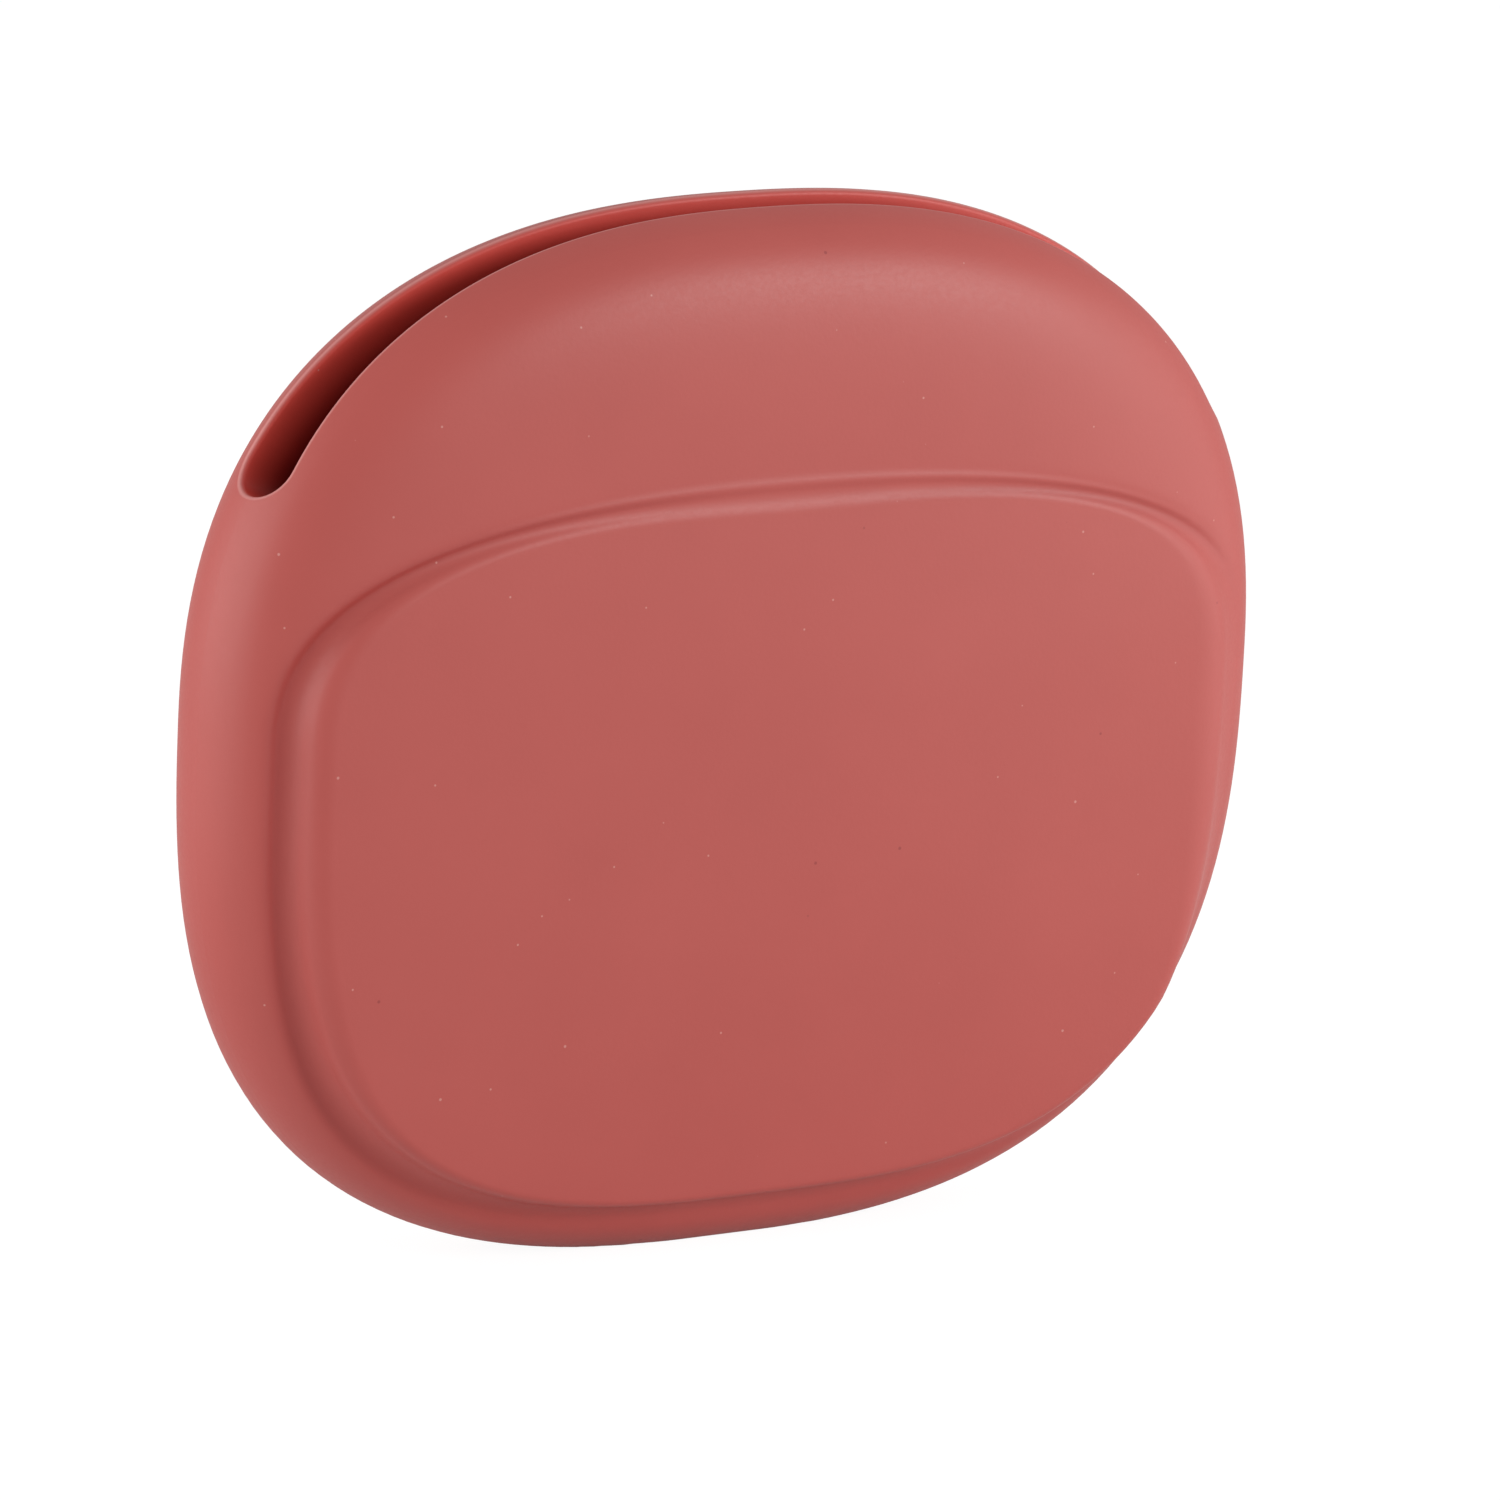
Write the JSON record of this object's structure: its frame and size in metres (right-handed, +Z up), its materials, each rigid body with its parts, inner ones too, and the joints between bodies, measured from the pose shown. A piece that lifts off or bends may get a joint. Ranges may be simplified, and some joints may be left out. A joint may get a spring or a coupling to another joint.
{
  "type": "earphone storage pouch",
  "caption": "Palm-sized soft silicone pouch for earphones, with a raised front panel and a slot mouth over its crown between flexing lips with hidden magnets.",
  "frame": {"origin": "under the middle of the pouch, on the surface that it stands on", "axes": "+X to the right as the front is seen, -Y out of the raised front panel, +Z up towards the mouth"},
  "size_m": [0.09, 0.018, 0.0798],
  "materials": {
    "silicone": "matte",
    "magnet_nickel": "satin"
  },
  "bodies": {
    "pouch": {"pouch_body": "silicone"},
    "front_lip": {"front_lip": "silicone", "front_magnet_left": "magnet_nickel", "front_magnet_right": "magnet_nickel", "front_plug_left": "silicone", "front_plug_right": "silicone"},
    "back_lip": {"back_lip": "silicone", "back_magnet_left": "magnet_nickel", "back_magnet_right": "magnet_nickel", "back_plug_left": "silicone", "back_plug_right": "silicone"}
  },
  "joints": [
    {"name": "front_lip_flex", "type": "hinge", "parent": "pouch", "child": "front_lip", "pos_m": [0, -0.008, 0.06325], "axis": [1, 0, 0], "range_deg": [-4.4, 25], "stiffness_Nm_per_rad": 0.05},
    {"name": "back_lip_flex", "type": "hinge", "parent": "pouch", "child": "back_lip", "pos_m": [0, 0.009, 0.06325], "axis": [-1, 0, 0], "range_deg": [-4.4, 25], "stiffness_Nm_per_rad": 0.05}
  ]
}
